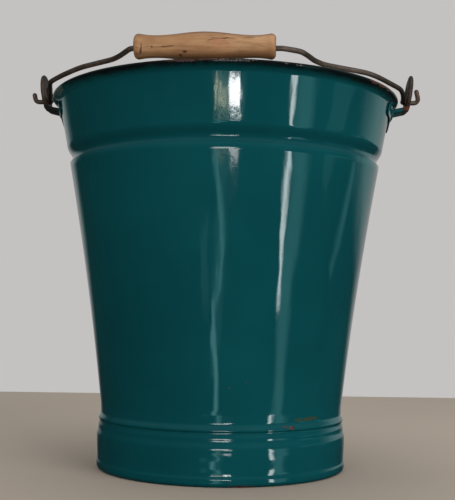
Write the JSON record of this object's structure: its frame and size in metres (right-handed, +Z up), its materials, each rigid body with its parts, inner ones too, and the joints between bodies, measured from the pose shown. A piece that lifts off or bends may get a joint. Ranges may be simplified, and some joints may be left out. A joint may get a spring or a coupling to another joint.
{
  "type": "enamelled metal bucket",
  "caption": "Tapered enamelled steel bucket with a rolled rim, eye ears, a hooked wire bail that swings over the mouth and a turned wooden grip that spins on the wire.",
  "frame": {"origin": "middle of the foot ring, on the surface that the bucket stands on", "axes": "+Z up through the mouth, the ears along X, the bail lying forward on the rim at -Y"},
  "size_m": [0.3291, 0.2884, 0.3256],
  "materials": {
    "teal_enamel": "glossy",
    "pale_enamel": "glossy",
    "dark_iron": "rough",
    "turned_wood": "satin"
  },
  "bodies": {
    "bucket": {"body_shell": "teal_enamel", "floor_pan": "pale_enamel", "ear_left": "teal_enamel", "ear_right": "teal_enamel"},
    "bail": {"bail_wire": "dark_iron"},
    "grip": {"wooden_grip": "turned_wood"}
  },
  "joints": [
    {"name": "bail_swing", "type": "hinge", "parent": "bucket", "child": "bail", "pos_m": [0, 0, 0.30273], "axis": [-1, 0, 0], "range_deg": [0, 170]},
    {"name": "grip_spin", "type": "hinge", "parent": "bail", "child": "grip", "pos_m": [-0.0076, -0.13442, 0.3115], "axis": [1, 0, 0], "continuous": true}
  ]
}
